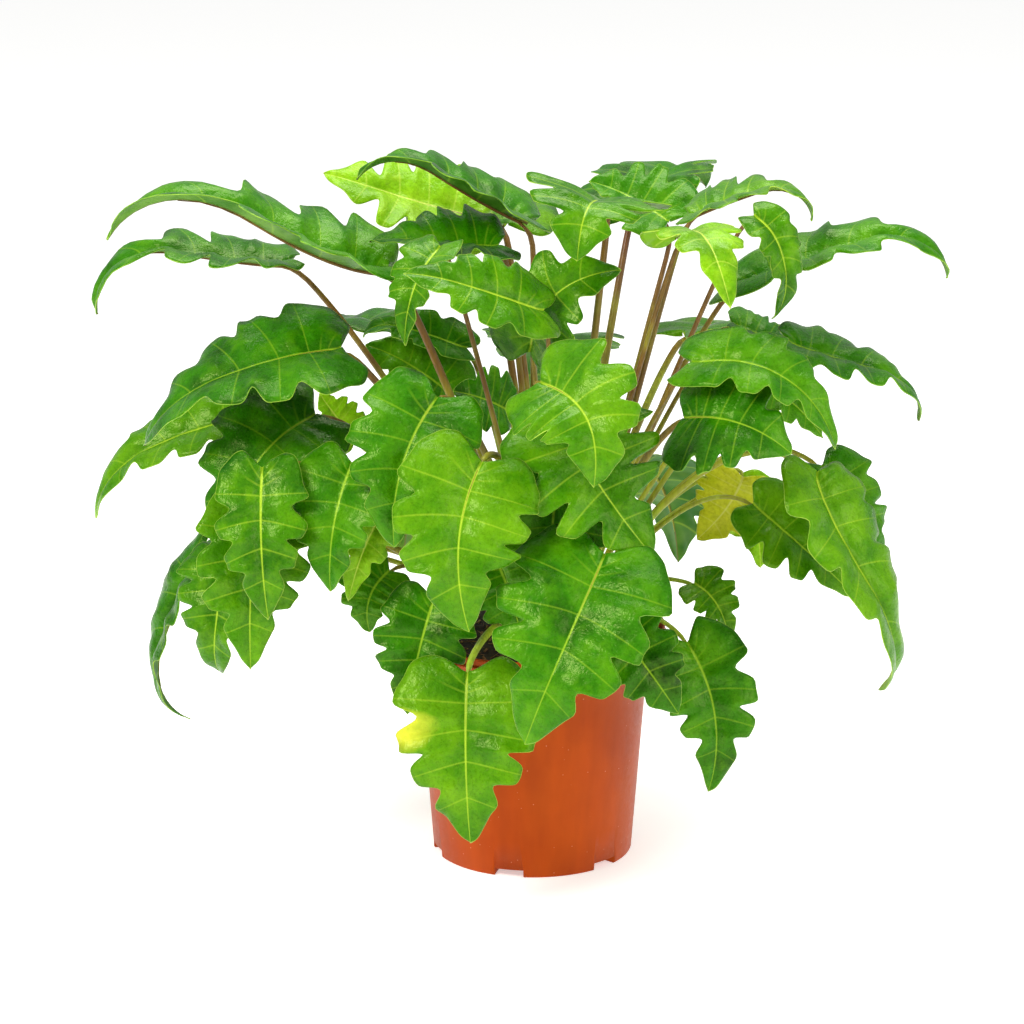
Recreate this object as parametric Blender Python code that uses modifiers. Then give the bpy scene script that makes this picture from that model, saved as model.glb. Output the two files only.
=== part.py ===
"""Split-leaf philodendron in a thin plastic nursery pot, in metres with +Z up and the viewer at -Y."""

import math
import random

import bmesh
import bpy
from mathutils import Quaternion, Vector

MM = 0.001

# Pot, in mm
POT_HEIGHT = 166.0
POT_WALL = 1.5
POT_SIDES = 36
RIM_RADIUS = 95.0
LIP_RADIUS = 93.8
LIP_HEIGHT = 5.5
BAND_HEIGHT = 26.0
BAND_FOOT_RADIUS = 82.8
BODY_TOP_RADIUS = 81.6
FOOT_RADIUS = 71.0
FLOOR = 1.6
CHANNEL_WIDTH = 21.0
CHANNEL_HEIGHT = 5.5
CHANNEL_START = 32.0
CHANNEL_ANGLES = (-44, 16, 76, 136, 196, 256)
DRAIN_RADIUS = 4.0
DRAIN_AT = 46.0

# Soil and crown, in mm
CLEARANCE = 0.3
SOIL_TOP = 158.0
SOIL_MOUND = 4.0
SOIL_SIDES = 24
CROWN_X = 16.0
CROWN_Y = 6.0
CROWN_RADIUS = 26.0
CROWN_BOTTOM = 128.0
CROWN_TOP = 172.0
CROWN_SIDES = 16
CLUMP_AT = (-60.0, 35.0)
CLUMP_RADIUS = 12.0

# Leaves, in mm
BLADE = 0.7
NECK_SHARE = 0.024
NECK_GAP = 0.35
PETIOLE_BASE = 3.3
PETIOLE_TOP = 2.1
PETIOLE_NECK = 1.3
PETIOLE_SIDES = 5
PETIOLE_STEPS = 5
RIB_STEPS = 24

# One half of the outline, from the notch to the tip: place along the rib, share of the half width,
# place on the rib that it is joined to, and 1 where a sinus is cut in.
OUTLINE = (
    (-0.06, 0.24, 0.05, 0),
    (-0.10, 0.48, 0.08, 0),
    (-0.05, 0.73, 0.11, 0),
    (0.06, 0.92, 0.14, 0),
    (0.19, 1.00, 0.19, 0),
    (0.27, 0.84, 0.25, 1),
    (0.36, 0.97, 0.31, 0),
    (0.45, 0.91, 0.37, 0),
    (0.48, 0.72, 0.43, 1),
    (0.56, 0.80, 0.49, 0),
    (0.64, 0.69, 0.56, 0),
    (0.67, 0.47, 0.63, 1),
    (0.77, 0.43, 0.71, 0),
    (0.86, 0.29, 0.81, 0),
    (0.95, 0.14, 0.91, 0),
)
LOBE_DROP = 0.018
SINUS_LIFT = 0.014
RAGGED = 0.05

# Each leaf: neck, middle and tip of its rib in mm, width in mm, where its upper face looks (bearing and
# height in degrees, -90 is the viewer), fold of its halves in degrees, hook of its tip in degrees,
# how much deeper its sinuses are cut, arch and sideways bow of its stalk in mm, and its tint.
LEAVES = (
    ("upper_left_long", (-100, -20, 424), (-175, -34, 452), (-282, -42, 531),
     108, -90, 76, 24, 110, 1.6, 20, (0, 0), "deep"),
    ("left_high", (-170, 20, 421), (-232, 14, 428), (-329, 8, 448),
     80, -90, 88, 15, 120, 1.6, 24, (0, 0), "deep"),
    ("left_broad", (-131, -60, 379), (-197, -76, 369), (-282, -82, 331),
     102, -82, 64, 6, 50, 1.0, 20, (0, 0), "deep"),
    ("left_low", (-197, 0, 314), (-255, 0, 300), (-331, 0, 257),
     58, -95, 64, 14, 60, 1.0, 20, (0, 0), "fresh"),
    ("left_shade", (-150, -40, 328), (-190, -66, 300), (-216, -76, 240),
     95, -110, 40, 8, 20, 1.0, 30, (0, 0), "deep"),
    ("left_front", (-182, -125, 313), (-182, -148, 265), (-178, -150, 214),
     62, -90, 15, 8, 5, 1.2, 40, (0, 0), "fresh"),
    ("left_inner", (-122, -112, 313), (-134, -134, 276), (-137, -138, 230),
     68, -105, 20, 10, 5, 1.0, 40, (0, 0), "deep"),
    ("left_hang_light", (-187, -101, 280), (-191, -126, 231), (-192, -130, 173),
     78, -80, 12, 5, 0, 1.1, 40, (-28, -28), "fresh"),
    ("left_hang_curl", (-216, -40, 231), (-219, -60, 192), (-227, -60, 137),
     62, -110, 15, 6, 60, 1.2, 40, (0, 0), "fresh"),
    ("left_hang_edge", (-232, 10, 218), (-259, 4, 163), (-282, 4, 82),
     50, 200, 22, 18, 80, 1.0, 30, (0, 0), "deep"),
    ("lime_ribbon", (-92, -74, 284), (-113, -96, 254), (-126, -102, 212),
     42, -70, 20, 10, 10, 1.2, 30, (0, 0), "lime"),
    ("centre_left", (-65, -112, 358), (-88, -142, 318), (-94, -148, 263),
     86, -100, 25, 8, 10, 1.2, 40, (0, 0), "deep"),
    ("centre_big", (-35, -152, 324), (-50, -180, 275), (-43, -182, 215),
     96, -88, 20, 6, 5, 1.1, 50, (0, 0), "fresh"),
    ("centre_curl", (4, -152, 378), (34, -186, 362), (38, -198, 318),
     84, -100, 40, 8, 20, 1.1, 60, (0, 0), "fresh"),
    ("centre_right", (20, -112, 341), (45, -138, 302), (80, -142, 255),
     108, -80, 30, 6, 0, 1.5, 50, (0, 0), "fresh"),
    ("centre_dark", (18, -113, 306), (12, -133, 255), (20, -135, 198),
     88, -92, 15, 8, 0, 1.1, 50, (0, 0), "deep"),
    ("pot_front", (47, -155, 261), (20, -193, 209), (-9, -205, 143),
     112, -100, 25, 8, 20, 1.2, 50, (44, -14), "deep"),
    ("pot_left_front", (-45, -140, 174), (-46, -162, 120), (-43, -162, 60),
     96, -92, 18, 5, 0, 1.2, 30, (0, 0), "fresh"),
    ("pot_left_back", (-68, -110, 216), (-79, -124, 179), (-86, -124, 139),
     66, -95, 15, 5, 0, 1.0, 16, (0, 0), "deep"),
    ("pot_right_front", (54, -100, 196), (78, -116, 168), (99, -114, 136),
     62, -85, 20, 8, 0, 1.0, 16, (0, 0), "deep"),
    ("right_low", (106, -75, 175), (125, -92, 128), (122, -94, 71),
     66, -75, 15, 10, 10, 1.3, 24, (0, 0), "deep"),
    ("right_low_small", (112, -40, 207), (128, -50, 194), (137, -50, 166),
     40, -60, 25, 14, 0, 1.2, 20, (0, 0), "fresh"),
    ("left_low_dark", (-99, -62, 223), (-113, -72, 206), (-113, -74, 182),
     50, -100, 20, 5, 0, 1.0, 20, (0, 0), "deep"),
    ("centre_under", (-26, -85, 238), (-14, -94, 208), (-7, -94, 175),
     55, -90, 15, 6, 0, 1.0, 16, (0, 0), "deep"),
    ("top_arch", (-4, 10, 452), (-57, 0, 482), (-116, -5, 524),
     82, -90, 80, 20, 100, 1.2, 16, (0, 0), "deep"),
    ("top_lime", (-36, 60, 446), (-92, 55, 462), (-146, 50, 482),
     92, -92, 58, 8, 10, 1.6, 16, (0, 0), "lime"),
    ("top_belly", (-24, -10, 440), (-66, -22, 446), (-112, -28, 452),
     78, -90, 70, 16, 20, 1.1, 16, (0, 0), "deep"),
    ("top_left_drop", (-63, -60, 450), (-80, -86, 428), (-88, -90, 388),
     44, -120, 20, 18, 10, 1.0, 10, (0, 0), "fresh"),
    ("mid_left_point", (6, -98, 414), (-40, -116, 434), (-86, -120, 448),
     60, -80, 50, 8, 20, 1.0, 20, (0, 0), "fresh"),
    ("small_curl", (-47, 40, 356), (-86, 40, 370), (-126, 40, 378),
     40, -90, 60, 16, 90, 1.0, 16, (0, 0), "deep"),
    ("mid_left_back", (-56, 37, 322), (-87, 42, 344), (-118, 42, 359),
     64, -90, 50, 6, 10, 1.0, 16, (0, 0), "deep"),
    ("centre_arch", (-2, -54, 376), (14, -68, 418), (60, -68, 438),
     74, -110, 46, 14, 30, 1.1, 24, (0, 0), "fresh"),
    ("top_mid", (50, -50, 476), (36, -94, 484), (28, -114, 452),
     94, -95, 66, 10, 10, 1.4, 10, (0, 0), "fresh"),
    ("top_mid_back", (96, 66, 442), (68, 84, 457), (40, 92, 466),
     72, -90, 60, 16, 0, 1.3, 10, (0, 0), "deep"),
    ("top_right_fan", (108, -10, 461), (145, -15, 476), (201, -15, 493),
     80, -85, 84, 12, 110, 1.3, 10, (0, 0), "fresh"),
    ("right_fold", (97, -76, 458), (113, -120, 468), (128, -156, 429),
     62, -70, 60, 5, 0, 1.2, 16, (0, 0), "lime"),
    ("right_ribbon", (148, -64, 472), (167, -74, 447), (170, -74, 396),
     36, -60, 35, 14, 50, 1.0, 10, (0, 0), "fresh"),
    ("right_long", (139, 10, 407), (215, 0, 438), (300, -5, 459),
     74, -90, 80, 14, 100, 1.3, 24, (0, 0), "deep"),
    ("right_back_short", (140, 24, 378), (164, 24, 368), (189, 24, 356),
     50, -90, 78, 10, 0, 1.0, 20, (0, 0), "deep"),
    ("right_mid_out", (175, -15, 374), (225, -20, 359), (291, -20, 341),
     66, -90, 76, 6, 90, 1.0, 24, (0, 0), "deep"),
    ("right_mid_arch", (107, -81, 374), (164, -99, 371), (209, -105, 322),
     62, -85, 60, 10, 20, 1.1, 24, (0, 0), "deep"),
    ("right_shade", (101, -101, 341), (136, -121, 343), (173, -125, 323),
     92, -80, 42, 4, 10, 1.1, 30, (0, 0), "deep"),
    ("right_inner", (145, -45, 358), (175, -50, 341), (199, -50, 314),
     46, -85, 56, 10, 0, 1.0, 20, (0, 0), "deep"),
    ("right_fall_big", (192, -75, 296), (219, -98, 239), (285, -100, 139),
     76, -55, 24, 10, 80, 1.0, 70, (0, 0), "fresh"),
    ("right_fall_back", (199, -34, 290), (222, -46, 255), (245, -48, 205),
     72, -50, 28, 10, 10, 1.1, 70, (0, 0), "deep"),
    ("right_pale", (154, -5, 255), (188, -10, 226), (229, -10, 188),
     60, -90, 45, 8, 10, 1.3, 40, (0, 0), "fresh"),
    ("right_yellow", (150, 42, 262), (138, 36, 240), (117, 30, 219),
     62, -90, 40, 6, 10, 1.0, 30, (0, 28), "yellow"),
    ("right_yellow_hang", (145, 58, 246), (159, 53, 227), (164, 50, 192),
     48, -90, 20, 6, 0, 1.0, 24, (0, 0), "lime"),
    ("left_lime_back", (-128, 58, 286), (-142, 56, 305), (-152, 54, 320),
     36, -90, 40, 6, 0, 1.0, 16, (0, 0), "lime"),
    ("stem_shade", (-18, 14, 318), (-36, 8, 328), (-56, 4, 334),
     54, -90, 50, 10, 0, 1.0, 16, (0, 0), "deep"),
    ("back_top_right", (70, 100, 440), (96, 150, 462), (130, 196, 452),
     100, 80, 66, 10, 30, 1.3, 10, (0, 0), "deep"),
    ("back_top_left", (-20, 100, 432), (-54, 156, 440), (-92, 200, 410),
     104, 100, 60, 10, 40, 1.3, 16, (0, 0), "fresh"),
    ("back_left", (-100, 90, 360), (-154, 128, 352), (-204, 160, 310),
     98, 140, 50, 8, 40, 1.1, 20, (0, 0), "deep"),
    ("back_right", (110, 110, 350), (160, 150, 342), (206, 184, 296),
     96, 50, 48, 8, 30, 1.1, 24, (0, 0), "fresh"),
    ("back_middle", (16, 140, 338), (14, 190, 318), (10, 226, 262),
     104, 90, 42, 8, 20, 1.2, 30, (0, 0), "deep"),
    ("back_low_left", (-66, 130, 246), (-86, 166, 216), (-98, 188, 160),
     88, 118, 30, 8, 10, 1.1, 36, (0, 0), "fresh"),
    ("back_low_right", (80, 136, 250), (100, 168, 214), (112, 186, 158),
     90, 62, 30, 8, 10, 1.1, 36, (0, 0), "deep"),
)

TINTS = {
    "deep": (0.035, 0.16, 0.02),
    "fresh": (0.10, 0.30, 0.03),
    "lime": (0.30, 0.48, 0.05),
    "yellow": (0.55, 0.55, 0.06),
}


def clear_scene():
    for obj in list(bpy.data.objects):
        bpy.data.objects.remove(obj)


def new_collection(name):
    made = bpy.data.collections.new(name)
    bpy.context.scene.collection.children.link(made)
    return made


def material(name, colour, roughness):
    made = bpy.data.materials.new(name)
    made.use_nodes = True
    shader = made.node_tree.nodes["Principled BSDF"]
    shader.inputs["Base Color"].default_value = (*colour, 1.0)
    shader.inputs["Roughness"].default_value = roughness
    return made


def add_object(name, mesh, where):
    obj = bpy.data.objects.new(name, mesh)
    where.objects.link(obj)
    return obj


def add_mesh(name, points, faces, where):
    """A mesh object from points in mm."""
    mesh = bpy.data.meshes.new(name)
    mesh.from_pydata([Vector(point) * MM for point in points], [], faces)
    return add_object(name, mesh, where)


def turned(name, profile, sides, where):
    """A solid of revolution. The profile runs in mm from the top of the axis down to its foot."""
    mesh = bpy.data.meshes.new(name)
    edges = [(i, i + 1) for i in range(len(profile) - 1)]
    mesh.from_pydata([(x * MM, 0, z * MM) for x, z in profile], edges, [])
    obj = add_object(name, mesh, where)
    screw = obj.modifiers.new("Turn", "SCREW")
    screw.steps = sides
    screw.render_steps = sides
    screw.use_merge_vertices = True
    screw.merge_threshold = 0.0001
    screw.use_smooth_shade = False
    return obj


def frozen(obj):
    """Replaces the object's mesh by its evaluated one."""
    graph = bpy.context.evaluated_depsgraph_get()
    mesh = bpy.data.meshes.new_from_object(obj.evaluated_get(graph))
    obj.modifiers.clear()
    obj.data = mesh
    return obj


def remove_all(objects):
    for obj in list(objects):
        bpy.data.objects.remove(obj)


def combine(obj, others, operation, solver="EXACT"):
    """A Boolean with every object of a collection, applied, after which those objects go."""
    step = obj.modifiers.new("Combine", "BOOLEAN")
    step.operation = operation
    step.operand_type = "COLLECTION"
    step.collection = others
    step.solver = solver
    frozen(obj)
    remove_all(others.objects)


def keep_largest(obj):
    """Fills the small hollows that a union sealed, by dropping every shell but the largest."""
    grid = bmesh.new()
    grid.from_mesh(obj.data)
    left = set(grid.verts)
    shells = []
    while left:
        shell = {left.pop()}
        fresh = set(shell)
        while fresh:
            fresh = {edge.other_vert(vert) for vert in fresh for edge in vert.link_edges} - shell
            shell |= fresh
        left -= shell
        shells.append(shell)
    largest = max(shells, key=len)
    bmesh.ops.delete(grid, geom=[vert for vert in grid.verts if vert not in largest], context="VERTS")
    grid.to_mesh(obj.data)
    grid.free()


def add_box(name, low, high, angle, where):
    """A box between two corners in mm, turned about Z by an angle in degrees."""
    spin = Quaternion((0, 0, 1), math.radians(angle))
    grid = bmesh.new()
    bmesh.ops.create_cube(grid, size=1.0)
    for vert in grid.verts:
        place = Vector(low[i] if vert.co[i] < 0 else high[i] for i in range(3))
        vert.co = spin @ place * MM
    mesh = bpy.data.meshes.new(name)
    grid.to_mesh(mesh)
    grid.free()
    return add_object(name, mesh, where)


def add_post(name, centre, radii, bottom, top, sides, where):
    """An upright post in mm, with one radius at its foot and one at its head."""
    grid = bmesh.new()
    bmesh.ops.create_cone(
        grid,
        cap_ends=True,
        cap_tris=False,
        segments=sides,
        radius1=radii[0] * MM,
        radius2=radii[1] * MM,
        depth=(top - bottom) * MM,
    )
    bmesh.ops.translate(grid, verts=grid.verts, vec=Vector((*centre, (top + bottom) / 2)) * MM)
    mesh = bpy.data.meshes.new(name)
    grid.to_mesh(mesh)
    grid.free()
    return add_object(name, mesh, where)


def pot_profile():
    """Down the outside of the wall, across the floor and up the inside."""
    lip_foot = POT_HEIGHT - LIP_HEIGHT
    band_foot = POT_HEIGHT - BAND_HEIGHT
    outside = [
        (LIP_RADIUS - 0.5, POT_HEIGHT),
        (LIP_RADIUS, POT_HEIGHT - 0.6),
        (LIP_RADIUS, lip_foot + 0.8),
        (LIP_RADIUS - 0.5, lip_foot),
        (RIM_RADIUS, lip_foot - 0.6),
        (BAND_FOOT_RADIUS, band_foot),
        (BODY_TOP_RADIUS, band_foot - 1.0),
        (FOOT_RADIUS, 1.0),
        (FOOT_RADIUS - 1.0, 0.0),
    ]
    inside = [
        (FOOT_RADIUS - POT_WALL - 1.0, FLOOR),
        (BODY_TOP_RADIUS - POT_WALL, band_foot - 1.0),
        (BAND_FOOT_RADIUS - POT_WALL, band_foot + 0.6),
        (LIP_RADIUS - POT_WALL, lip_foot - 1.6),
        (LIP_RADIUS - POT_WALL, POT_HEIGHT - 0.4),
        (LIP_RADIUS - POT_WALL + 0.4, POT_HEIGHT),
    ]
    return outside + [(0, 0)] + [(0, FLOOR)] + inside + [outside[0]]


def build_pot(parts, tools):
    pot = turned("pot", pot_profile(), POT_SIDES, parts)
    frozen(pot)
    wall = FOOT_RADIUS - POT_WALL / 2
    half = CHANNEL_WIDTH / 2
    for angle in CHANNEL_ANGLES:
        low = (CHANNEL_START - POT_WALL, -half - POT_WALL, FLOOR / 2)
        high = (wall, half + POT_WALL, CHANNEL_HEIGHT + FLOOR)
        add_box("cover", low, high, angle, tools)
    combine(pot, tools, "UNION")
    for angle in CHANNEL_ANGLES:
        low = (CHANNEL_START, -half, -1.0)
        high = (FOOT_RADIUS + 3.0, half, CHANNEL_HEIGHT)
        add_box("channel", low, high, angle, tools)
    combine(pot, tools, "DIFFERENCE")
    for angle in CHANNEL_ANGLES:
        bearing = math.radians(angle)
        centre = (DRAIN_AT * math.cos(bearing), DRAIN_AT * math.sin(bearing))
        top = CHANNEL_HEIGHT + FLOOR + 1.0
        add_post("drain", centre, (DRAIN_RADIUS, DRAIN_RADIUS), CHANNEL_HEIGHT - 1.0, top, 12, tools)
    combine(pot, tools, "DIFFERENCE")
    return pot


def soil_profile():
    gap = POT_WALL + CLEARANCE
    band_foot = POT_HEIGHT - BAND_HEIGHT
    edge = LIP_RADIUS - gap - 0.4
    return [
        (0, SOIL_TOP + SOIL_MOUND),
        (30, SOIL_TOP + SOIL_MOUND),
        (52, SOIL_TOP + SOIL_MOUND * 0.7),
        (72, SOIL_TOP + SOIL_MOUND * 0.3),
        (edge - 3.0, SOIL_TOP),
        (BODY_TOP_RADIUS - gap - 0.8, band_foot - 1.0),
        (FOOT_RADIUS - gap - 1.2, FLOOR + CLEARANCE),
        (0, FLOOR + CLEARANCE),
    ]


def build_soil(parts, tools):
    soil = turned("soil", soil_profile(), SOIL_SIDES, parts)
    frozen(soil)
    for vert in soil.data.vertices:
        if vert.co.z > SOIL_TOP * MM:
            vert.co.z += 0.0012 * math.sin(vert.co.x * 130) * math.cos(vert.co.y * 170)
    add_post("clump", CLUMP_AT, (CLUMP_RADIUS, CLUMP_RADIUS * 0.6), 150.0, 172.0, 9, tools)
    combine(soil, tools, "UNION")
    half = CHANNEL_WIDTH / 2 + POT_WALL + CLEARANCE
    for angle in CHANNEL_ANGLES:
        low = (CHANNEL_START - POT_WALL - CLEARANCE, -half, 0.0)
        high = (FOOT_RADIUS + 3.0, half, CHANNEL_HEIGHT + FLOOR + CLEARANCE)
        add_box("slot", low, high, angle, tools)
    hole = CROWN_RADIUS + CLEARANCE
    bottom = CROWN_BOTTOM - CLEARANCE
    add_post("hole", (CROWN_X, CROWN_Y), (hole, hole), bottom, 180.0, CROWN_SIDES, tools)
    combine(soil, tools, "DIFFERENCE")
    return soil


def rib_frames(neck, middle, tip, facing, hook, twist):
    """Places along the rib with the side and the upper normal there, from the neck to the tip."""
    neck, middle, tip = Vector(neck), Vector(middle), Vector(tip)
    bend = middle * 2 - (neck + tip) / 2
    line = []
    for i in range(RIB_STEPS + 1):
        t = i / RIB_STEPS
        line.append(neck * (1 - t) ** 2 + bend * (2 * t * (1 - t)) + tip * t**2)
    before = (line[1] - line[0]).normalized()
    normal = (facing - before * facing.dot(before)).normalized()
    place = neck.copy()
    frames = []
    for i in range(RIB_STEPS):
        step = line[i + 1] - line[i]
        normal = before.rotation_difference(step) @ normal
        before = step.normalized()
        share = max(0.0, (i / RIB_STEPS - 0.55) / 0.45)
        curl = Quaternion(normal.cross(before), math.radians(hook) * share**1.5)
        along = curl @ step
        up = Quaternion(along, math.radians(twist) * i / RIB_STEPS) @ (curl @ normal)
        frames.append((place.copy(), along, along.cross(up).normalized(), up.normalized()))
        place = place + along
    frames.append((place, frames[-1][1], frames[-1][2], frames[-1][3]))
    return frames


def on_blade(frames, along, out, fold, lift):
    """The place on the blade at a share of the rib's length, out mm to one side and lift mm up."""
    spot = min(max(along, 0.0), 0.9999) * RIB_STEPS
    index = int(spot)
    place, step, side, up = frames[index]
    after = frames[index + 1]
    part = spot - index if along >= 0 else along * RIB_STEPS
    blend = min(max(part, 0.0), 1.0)
    side = side.lerp(after[2], blend)
    up = up.lerp(after[3], blend)
    raised = math.radians(fold)
    reach = side * (out * math.cos(raised)) + up * (abs(out) * math.sin(raised))
    return place + step * part + reach + up * lift


def blade_sheet(number, leaf):
    """The middle surface of one blade: points in mm, triangles from the rib to the edge, and the rib."""
    neck, middle, tip, width, bearing, height, fold, hook, cut = leaf[1:10]
    draw = random.Random(number)
    face, tilt = math.radians(bearing), math.radians(height)
    facing = Vector((math.cos(face) * math.cos(tilt), math.sin(face) * math.cos(tilt), math.sin(tilt)))
    frames = rib_frames(neck, middle, tip, facing, hook, draw.uniform(-14, 14))
    length = (Vector(tip) - Vector(middle)).length + (Vector(middle) - Vector(neck)).length
    points = [on_blade(frames, 0.0, 0.0, 0, 0)]
    points += [on_blade(frames, row[2], 0.0, 0, 0) for row in OUTLINE]
    points.append(on_blade(frames, 1.0, 0.0, 0, 0))
    faces = []
    last = len(OUTLINE) + 1
    for hand in (-1, 1):
        first = len(points)
        points.append(on_blade(frames, 0.0, hand * NECK_SHARE * width, 0, 0))
        for along, out, _, sinus in OUTLINE:
            along += draw.uniform(-0.2, 0.2) * RAGGED
            out *= 1 + draw.uniform(-1, 1) * RAGGED
            if sinus:
                out -= 0.3 * (cut - 1)
                along -= 0.03 * (cut - 1)
            lift = length * (SINUS_LIFT if sinus else -LOBE_DROP * out)
            lift += length * draw.uniform(-0.01, 0.01)
            points.append(on_blade(frames, along, hand * out * width / 2, fold, lift))
        edge = [first + i for i in range(last)] + [last]
        for i in range(last):
            quad = (i, i + 1, edge[i + 1], edge[i])
            pair = [(quad[0], quad[1], quad[2]), (quad[0], quad[2], quad[3])]
            if i == 0:
                pair = [(quad[0], quad[1], quad[3]), (quad[1], quad[2], quad[3])]
            if i == last - 1:
                pair = [(quad[0], quad[1], quad[3])]
            faces += [tri if hand < 0 else tri[::-1] for tri in pair]
    return points, faces, frames


def stalk_line(number, frames, arch, bow):
    """The middle line of a stalk, from inside the crown to just short of the neck."""
    draw = random.Random(1000 + number)
    neck, step, _, up = frames[0]
    along = step.normalized()
    away = Vector((neck.x - CROWN_X, neck.y - CROWN_Y, 0)).normalized()
    spread = draw.uniform(7, 17)
    start = Vector((CROWN_X, CROWN_Y, 158)) + away * spread
    end = neck - along * 6 - up * 3
    raised = Vector((*bow, arch))
    first = start.lerp(end, 0.30) + raised
    second = start.lerp(end, 0.72) + raised
    line = []
    for i in range(PETIOLE_STEPS + 1):
        t = i / PETIOLE_STEPS
        line.append(
            start * (1 - t) ** 3
            + first * (3 * t * (1 - t) ** 2)
            + second * (3 * t**2 * (1 - t))
            + end * t**3
        )
    return line + [neck - along * NECK_GAP]


def girth(width):
    """A wide leaf has a thicker stalk."""
    return min(max(width / 90, 0.7), 1.1)


def stalk_mesh(line, width):
    """A tapered tube along a line: points in mm and faces, closed at both ends."""
    points = []
    count = len(line) - 1
    side = (line[1] - line[0]).orthogonal().normalized()
    before = line[1] - line[0]
    for i, place in enumerate(line):
        step = line[min(i + 1, count)] - line[max(i - 1, 0)]
        if i == count:
            step = line[i] - line[i - 1]
        side = before.rotation_difference(step) @ side
        before = step
        radius = PETIOLE_BASE + (PETIOLE_TOP - PETIOLE_BASE) * i / count
        if i == count:
            radius = PETIOLE_NECK
        radius *= girth(width)
        for k in range(PETIOLE_SIDES):
            spin = Quaternion(step, 2 * math.pi * k / PETIOLE_SIDES)
            points.append(place + spin @ side * radius)
    faces = [tuple(range(PETIOLE_SIDES))[::-1]]
    for i in range(count):
        for k in range(PETIOLE_SIDES):
            low = i * PETIOLE_SIDES
            high = low + PETIOLE_SIDES
            following = (k + 1) % PETIOLE_SIDES
            faces.append((low + k, low + following, high + following, high + k))
    faces.append(tuple(count * PETIOLE_SIDES + k for k in range(PETIOLE_SIDES)))
    return points, faces


def build_leaves(parts, tools, paints):
    """Each blade as its own solid, and every stalk fused with the crown."""
    for number, leaf in enumerate(LEAVES):
        points, faces, frames = blade_sheet(number, leaf)
        blade = add_mesh("leaf_" + leaf[0], points, faces, parts)
        blade.data.materials.append(paints[leaf[12]])
        thick = blade.modifiers.new("Thickness", "SOLIDIFY")
        thick.thickness = BLADE * MM
        thick.offset = 0.0
        line = stalk_line(number, frames, leaf[10], leaf[11])
        add_mesh("stalk", *stalk_mesh(line, leaf[4]), tools)
    centre = (CROWN_X, CROWN_Y)
    radii = (CROWN_RADIUS, CROWN_RADIUS * 0.72)
    stems = add_post("stems", centre, radii, CROWN_BOTTOM, CROWN_TOP, CROWN_SIDES, parts)
    combine(stems, tools, "UNION", "MANIFOLD")
    keep_largest(stems)
    return stems


def main():
    clear_scene()
    parts = new_collection("potted_philodendron")
    tools = new_collection("tools")
    tools.hide_render = True
    paints = {name: material("leaf_" + name, colour, 0.35) for name, colour in TINTS.items()}
    pot = build_pot(parts, tools)
    pot.data.materials.append(material("terracotta_plastic", (0.55, 0.10, 0.035), 0.45))
    soil = build_soil(parts, tools)
    soil.data.materials.append(material("potting_soil", (0.03, 0.018, 0.012), 0.95))
    stems = build_leaves(parts, tools, paints)
    stems.data.materials.append(material("petiole_green", (0.14, 0.15, 0.03), 0.45))


main()
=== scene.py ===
import math
import random

import bmesh
import bpy
from mathutils import Euler, Matrix, Quaternion, Vector, noise


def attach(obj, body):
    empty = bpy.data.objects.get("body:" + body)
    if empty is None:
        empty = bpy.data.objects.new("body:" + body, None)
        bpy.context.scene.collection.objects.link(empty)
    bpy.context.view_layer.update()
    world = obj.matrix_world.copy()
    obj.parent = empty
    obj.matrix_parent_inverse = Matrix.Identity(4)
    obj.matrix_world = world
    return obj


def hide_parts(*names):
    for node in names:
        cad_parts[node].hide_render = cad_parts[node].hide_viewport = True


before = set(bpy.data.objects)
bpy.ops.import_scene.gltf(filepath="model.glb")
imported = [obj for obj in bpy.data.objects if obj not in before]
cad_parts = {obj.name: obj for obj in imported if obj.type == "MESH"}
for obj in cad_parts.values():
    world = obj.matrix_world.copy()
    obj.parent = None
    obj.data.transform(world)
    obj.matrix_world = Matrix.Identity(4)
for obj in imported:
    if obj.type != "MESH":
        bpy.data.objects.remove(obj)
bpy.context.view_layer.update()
mm = 0.001

# a potted split-leaf philodendron: waved blades on fleshy stalks, peat and a moulded pot


def linear(hexText):
    # sRGB hex to the linear values that the shader wants
    parts = [int(hexText[i:i + 2], 16) / 255 for i in (1, 3, 5)]
    return [c / 12.92 if c <= 0.04045 else ((c + 0.055) / 1.055) ** 2.4 for c in parts] + [1.0]


def addNode(tree, kind, settings=None, **links):
    # one node with its settings; a link may be a socket, a number or a colour, and i3 is the fourth input
    node = tree.nodes.new("ShaderNode" + kind)
    for name, value in (settings or {}).items():
        if name == "stops":   # of a colour ramp, as (place, colour)
            bar = node.color_ramp.elements
            while len(bar) < len(value):
                bar.new(0.5)
            for element, (place, colour) in zip(bar, value):
                element.position, element.color = place, linear(colour)
        else:
            setattr(node, name, value)
    for name, value in links.items():
        key = int(name[1:]) if name[0] == "i" and name[1:].isdigit() else name.replace("_", " ")
        if isinstance(value, bpy.types.NodeSocket):
            tree.links.new(value, node.inputs[key])
        else:
            node.inputs[key].default_value = value
    return node


def newMaterial(name):
    made = bpy.data.materials.new(name)
    made.use_nodes = True
    made.node_tree.nodes.clear()
    tree = made.node_tree
    shader = addNode(tree, "BsdfPrincipled")
    addNode(tree, "OutputMaterial", Surface=shader.outputs[0])
    return made, tree, shader


def perMetre(sizeMm):
    # a pattern that repeats each sizeMm, as a scale on Object coordinates in metres
    return 1000 / sizeMm


mixColour = {"data_type": "RGBA"}
multiply = {"data_type": "RGBA", "blend_type": "MULTIPLY"}

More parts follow.
